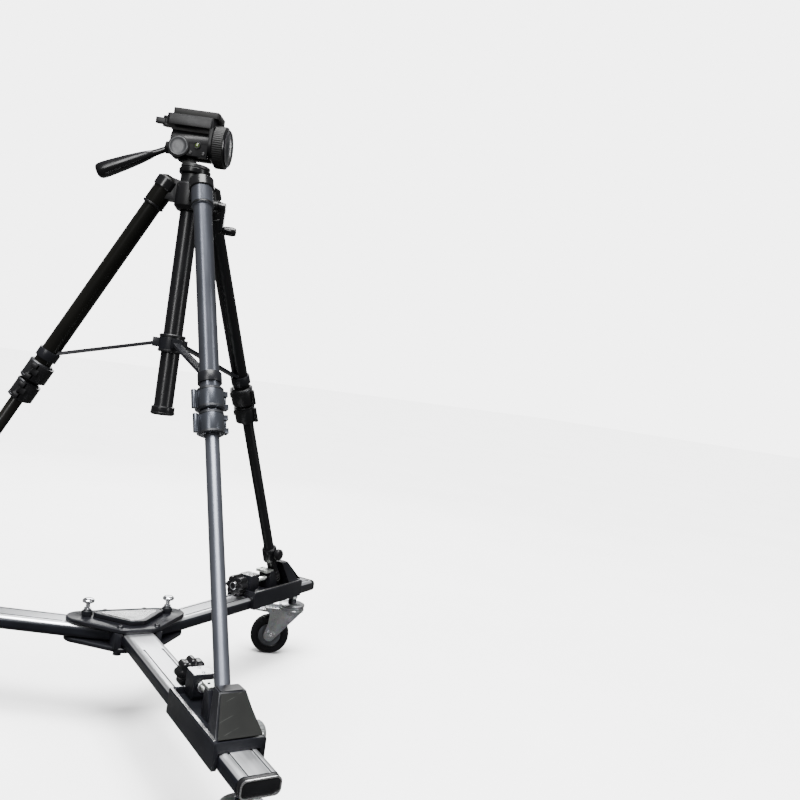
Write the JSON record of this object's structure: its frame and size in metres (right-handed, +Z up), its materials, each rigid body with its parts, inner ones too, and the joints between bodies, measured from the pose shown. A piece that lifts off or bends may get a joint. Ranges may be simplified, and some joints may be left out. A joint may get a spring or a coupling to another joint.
{
  "type": "tripod dolly camera support",
  "caption": "Camera tripod with a pan head, its feet clamped to sliding carriers on a wheeled folding dolly with braked casters.",
  "frame": {"origin": "centre of the bounding box at floor level, under the wheels", "axes": "+Z up along the camera stud, -Y along the front dolly arm, +X to the right seen from the front"},
  "size_m": [0.8748, 0.7402, 0.922],
  "materials": {
    "arm_aluminium": "satin",
    "badge": "brushed",
    "black_plate": "satin",
    "black_plastic": "matte",
    "chrome": "polished",
    "zinc": "satin",
    "tyre": "matte",
    "grey_plastic": "matte",
    "grey_leg": "satin anodised",
    "black_leg": "satin anodised",
    "black_rubber": "matte"
  },
  "bodies": {
    "dolly_frame": {"hub_top_plate": "black_plate", "hub_bottom_plate": "black_plate", "hub_badge": "badge", "arm_front": "arm_aluminium", "arm_right": "arm_aluminium", "arm_left": "arm_aluminium", "arm_end_plugs": "black_plastic"},
    "pull_pin_right": {"pull_pin_right": "chrome"},
    "pull_pin_left": {"pull_pin_left": "chrome"},
    "caster_fork_front": {"caster_fork_front": "zinc"},
    "caster_wheel_front": {"caster_tyre_front": "tyre", "caster_rim_front": "grey_plastic"},
    "caster_brake_front": {"caster_brake_front": "zinc"},
    "caster_fork_right": {"caster_fork_right": "zinc"},
    "caster_wheel_right": {"caster_tyre_right": "tyre", "caster_rim_right": "grey_plastic"},
    "caster_brake_right": {"caster_brake_right": "zinc"},
    "caster_fork_left": {"caster_fork_left": "zinc"},
    "caster_wheel_left": {"caster_tyre_left": "tyre", "caster_rim_left": "grey_plastic"},
    "caster_brake_left": {"caster_brake_left": "zinc"},
    "carrier_front": {"carrier_front": "black_plate"},
    "clamp_jaw_front": {"clamp_jaw_front": "black_plastic"},
    "clamp_knob_front": {"clamp_knob_front": "black_plastic"},
    "carrier_lock_front": {"carrier_lock_front": "grey_plastic"},
    "carrier_right": {"carrier_right": "black_plate"},
    "clamp_jaw_right": {"clamp_jaw_right": "black_plastic"},
    "clamp_knob_right": {"clamp_knob_right": "black_plastic"},
    "carrier_lock_right": {"carrier_lock_right": "grey_plastic"},
    "carrier_left": {"carrier_left": "black_plate"},
    "clamp_jaw_left": {"clamp_jaw_left": "black_plastic"},
    "clamp_knob_left": {"clamp_knob_left": "black_plastic"},
    "carrier_lock_left": {"carrier_lock_left": "grey_plastic"},
    "tripod": {"crown": "black_plastic", "guide_tube": "black_leg", "center_brace": "black_plastic", "leg_upper_front": "grey_leg", "leg_collars_front": "black_plastic", "leg_upper_right": "black_leg", "leg_collars_right": "black_plastic", "leg_upper_left": "black_leg", "leg_collars_left": "black_plastic"},
    "leg_lower_front": {"leg_lower_front": "black_leg"},
    "upper_lever_front": {"upper_lever_front": "black_plastic"},
    "lower_lever_front": {"lower_lever_front": "black_plastic"},
    "leg_lower_right": {"leg_lower_right": "black_leg"},
    "upper_lever_right": {"upper_lever_right": "black_plastic"},
    "lower_lever_right": {"lower_lever_right": "black_plastic"},
    "leg_lower_left": {"leg_lower_left": "black_leg"},
    "upper_lever_left": {"upper_lever_left": "black_plastic"},
    "lower_lever_left": {"lower_lever_left": "black_plastic"},
    "column": {"center_column": "black_leg"},
    "crank": {"crank": "black_plastic"},
    "pan_base": {"pan_base": "black_plastic"},
    "tilt_body": {"tilt_body": "black_plastic"},
    "head_platform": {"head_platform": "black_plastic", "qr_plate": "black_rubber"},
    "side_drum": {"side_drum": "black_rubber"},
    "qr_lever": {"qr_lever": "black_plastic"},
    "pan_handle": {"pan_handle": "black_rubber"}
  },
  "joints": [
    {"name": "pull_pin_right_lift", "type": "slide", "parent": "dolly_frame", "child": "pull_pin_right", "axis": [0, 0, 1], "range_m": [0, 0.008], "stiffness_N_per_m": 600, "springref_m": -0.003},
    {"name": "pull_pin_left_lift", "type": "slide", "parent": "dolly_frame", "child": "pull_pin_left", "axis": [0, 0, 1], "range_m": [0, 0.008], "stiffness_N_per_m": 600, "springref_m": -0.003},
    {"name": "caster_swivel_front", "type": "hinge", "parent": "dolly_frame", "child": "caster_fork_front", "pos_m": [0.01511, -0.33408, 0.094], "axis": [0, 0, 1], "continuous": true},
    {"name": "caster_roll_front", "type": "hinge", "parent": "caster_fork_front", "child": "caster_wheel_front", "pos_m": [-0.01667, -0.31718, 0.0375], "axis": [-0.4695, -0.8829, 0], "continuous": true},
    {"name": "caster_brake_front", "type": "hinge", "parent": "caster_fork_front", "child": "caster_brake_front", "pos_m": [0.01511, -0.33408, 0.0825], "axis": [-0.4695, -0.8829, 0], "range_deg": [0, 7]},
    {"name": "caster_swivel_right", "type": "hinge", "parent": "dolly_frame", "child": "caster_fork_right", "pos_m": [0.39443, 0.32292, 0.094], "axis": [0, 0, 1], "continuous": true},
    {"name": "caster_roll_right", "type": "hinge", "parent": "caster_fork_right", "child": "caster_wheel_right", "pos_m": [0.36265, 0.33982, 0.0375], "axis": [-0.4695, -0.8829, 0], "continuous": true},
    {"name": "caster_brake_right", "type": "hinge", "parent": "caster_fork_right", "child": "caster_brake_right", "pos_m": [0.39443, 0.32292, 0.0825], "axis": [-0.4695, -0.8829, 0], "range_deg": [0, 7]},
    {"name": "caster_swivel_left", "type": "hinge", "parent": "dolly_frame", "child": "caster_fork_left", "pos_m": [-0.3642, 0.32292, 0.094], "axis": [0, 0, 1], "continuous": true},
    {"name": "caster_roll_left", "type": "hinge", "parent": "caster_fork_left", "child": "caster_wheel_left", "pos_m": [-0.39599, 0.33982, 0.0375], "axis": [-0.4695, -0.8829, 0], "continuous": true},
    {"name": "caster_brake_left", "type": "hinge", "parent": "caster_fork_left", "child": "caster_brake_left", "pos_m": [-0.3642, 0.32292, 0.0825], "axis": [-0.4695, -0.8829, 0], "range_deg": [0, 7]},
    {"name": "carrier_slide_front", "type": "slide", "parent": "dolly_frame", "child": "carrier_front", "axis": [0, -1, 0], "range_m": [-0.1008, 0.0252]},
    {"name": "clamp_slide_front", "type": "slide", "parent": "carrier_front", "child": "clamp_jaw_front", "axis": [0, -1, 0], "range_m": [-0.012, 0]},
    {"name": "clamp_turn_front", "type": "hinge", "parent": "clamp_jaw_front", "child": "clamp_knob_front", "pos_m": [0.01511, -0.14208, 0.17], "axis": [0, -1, 0], "range_deg": [-1441, 0]},
    {"name": "carrier_lock_front", "type": "hinge", "parent": "carrier_front", "child": "carrier_lock_front", "pos_m": [0.05511, -0.26408, 0.141], "axis": [1, 0, 0], "range_deg": [-360, 0]},
    {"name": "carrier_slide_right", "type": "slide", "parent": "dolly_frame", "child": "carrier_right", "axis": [0.866, 0.5, 0], "range_m": [-0.1008, 0.0252]},
    {"name": "clamp_slide_right", "type": "slide", "parent": "carrier_right", "child": "clamp_jaw_right", "axis": [0.866, 0.5, 0], "range_m": [-0.012, 0]},
    {"name": "clamp_turn_right", "type": "hinge", "parent": "clamp_jaw_right", "child": "clamp_knob_right", "pos_m": [0.22816, 0.22692, 0.17], "axis": [0.866, 0.5, 0], "range_deg": [-1441, 0]},
    {"name": "carrier_lock_right", "type": "hinge", "parent": "carrier_right", "child": "carrier_lock_right", "pos_m": [0.31381, 0.32256, 0.141], "axis": [-0.5, 0.866, 0], "range_deg": [-360, 0]},
    {"name": "carrier_slide_left", "type": "slide", "parent": "dolly_frame", "child": "carrier_left", "axis": [-0.866, 0.5, 0], "range_m": [-0.1008, 0.0252]},
    {"name": "clamp_slide_left", "type": "slide", "parent": "carrier_left", "child": "clamp_jaw_left", "axis": [-0.866, 0.5, 0], "range_m": [-0.012, 0]},
    {"name": "clamp_turn_left", "type": "hinge", "parent": "clamp_jaw_left", "child": "clamp_knob_left", "pos_m": [-0.19793, 0.22692, 0.17], "axis": [-0.866, 0.5, 0], "range_deg": [-1441, 0]},
    {"name": "carrier_lock_left", "type": "hinge", "parent": "carrier_left", "child": "carrier_lock_left", "pos_m": [-0.32358, 0.25328, 0.141], "axis": [-0.5, -0.866, 0], "range_deg": [-360, 0]},
    {"name": "tripod_height", "type": "slide", "parent": "dolly_frame", "child": "tripod", "axis": [0, 0, 1], "range_m": [-0.2, 0.05]},
    {"name": "leg_slide_front", "type": "slide", "parent": "tripod", "child": "leg_lower_front", "axis": [0, -0.4497, -0.8932], "range_m": [-0.225, 0.056]},
    {"name": "upper_lever_front", "type": "hinge", "parent": "tripod", "child": "upper_lever_front", "pos_m": [0.03431, -0.0852, 0.50643], "axis": [0, -0.4497, -0.8932], "range_deg": [0, 70]},
    {"name": "lower_lever_front", "type": "hinge", "parent": "tripod", "child": "lower_lever_front", "pos_m": [0.03311, -0.10004, 0.47695], "axis": [0, -0.4497, -0.8932], "range_deg": [0, 70]},
    {"name": "leg_slide_right", "type": "slide", "parent": "tripod", "child": "leg_lower_right", "axis": [0.3895, 0.2249, -0.8932], "range_m": [-0.225, 0.056]},
    {"name": "upper_lever_right", "type": "hinge", "parent": "tripod", "child": "upper_lever_right", "pos_m": [0.1693, 0.21511, 0.50643], "axis": [0.3895, 0.2249, -0.8932], "range_deg": [0, 70]},
    {"name": "lower_lever_right", "type": "hinge", "parent": "tripod", "child": "lower_lever_right", "pos_m": [0.18275, 0.22149, 0.47695], "axis": [0.3895, 0.2249, -0.8932], "range_deg": [0, 70]},
    {"name": "leg_slide_left", "type": "slide", "parent": "tripod", "child": "leg_lower_left", "axis": [-0.3895, 0.2249, -0.8932], "range_m": [-0.225, 0.056]},
    {"name": "upper_lever_left", "type": "hinge", "parent": "tripod", "child": "upper_lever_left", "pos_m": [-0.15827, 0.18185, 0.50643], "axis": [-0.3895, 0.2249, -0.8932], "range_deg": [0, 70]},
    {"name": "lower_lever_left", "type": "hinge", "parent": "tripod", "child": "lower_lever_left", "pos_m": [-0.17052, 0.19031, 0.47695], "axis": [-0.3895, 0.2249, -0.8932], "range_deg": [0, 70]},
    {"name": "column_height", "type": "slide", "parent": "tripod", "child": "column", "axis": [0, 0, 1], "range_m": [0, 0.2]},
    {"name": "crank_turn", "type": "hinge", "parent": "tripod", "child": "crank", "pos_m": [0.05668, 0.07992, 0.785], "axis": [0.866, -0.5, 0], "range_deg": [0, 2881]},
    {"name": "head_pan", "type": "hinge", "parent": "column", "child": "pan_base", "pos_m": [0.01511, 0.10392, 0.834], "axis": [0, 0, 1], "continuous": true},
    {"name": "head_tilt", "type": "hinge", "parent": "pan_base", "child": "tilt_body", "pos_m": [-0.00478, 0.11734, 0.862], "axis": [-0.5592, -0.829, 0], "range_deg": [-8, 25]},
    {"name": "head_side_tilt", "type": "hinge", "parent": "tilt_body", "child": "head_platform", "pos_m": [0.01511, 0.10392, 0.872], "axis": [0.829, -0.5592, 0], "range_deg": [0, 90]},
    {"name": "side_drum_turn", "type": "hinge", "parent": "head_platform", "child": "side_drum", "pos_m": [0.04413, 0.08435, 0.872], "axis": [0.829, -0.5592, 0], "range_deg": [-180, 0]},
    {"name": "qr_lever", "type": "hinge", "parent": "head_platform", "child": "qr_lever", "pos_m": [-0.02717, 0.13244, 0.9], "axis": [0, 0, 1], "range_deg": [-60, 60]},
    {"name": "handle_twist", "type": "hinge", "parent": "tilt_body", "child": "pan_handle", "pos_m": [-0.01515, 0.12433, 0.8645], "axis": [-0.7451, 0.5026, -0.4384], "range_deg": [-360, 0]}
  ],
  "couplings": [
    {"joint": "carrier_slide_front", "follows": "tripod_height", "ratio": 0.50355},
    {"joint": "clamp_turn_front", "follows": "clamp_slide_front", "rad_per_m": 2094.4},
    {"joint": "carrier_slide_right", "follows": "tripod_height", "ratio": 0.50355},
    {"joint": "clamp_turn_right", "follows": "clamp_slide_right", "rad_per_m": 2094.4},
    {"joint": "carrier_slide_left", "follows": "tripod_height", "ratio": 0.50355},
    {"joint": "clamp_turn_left", "follows": "clamp_slide_left", "rad_per_m": 2094.4},
    {"joint": "leg_slide_front", "follows": "tripod_height", "ratio": 1.1196},
    {"joint": "leg_slide_right", "follows": "tripod_height", "ratio": 1.1196},
    {"joint": "leg_slide_left", "follows": "tripod_height", "ratio": 1.1196},
    {"joint": "crank_turn", "follows": "column_height", "rad_per_m": 251.33}
  ]
}
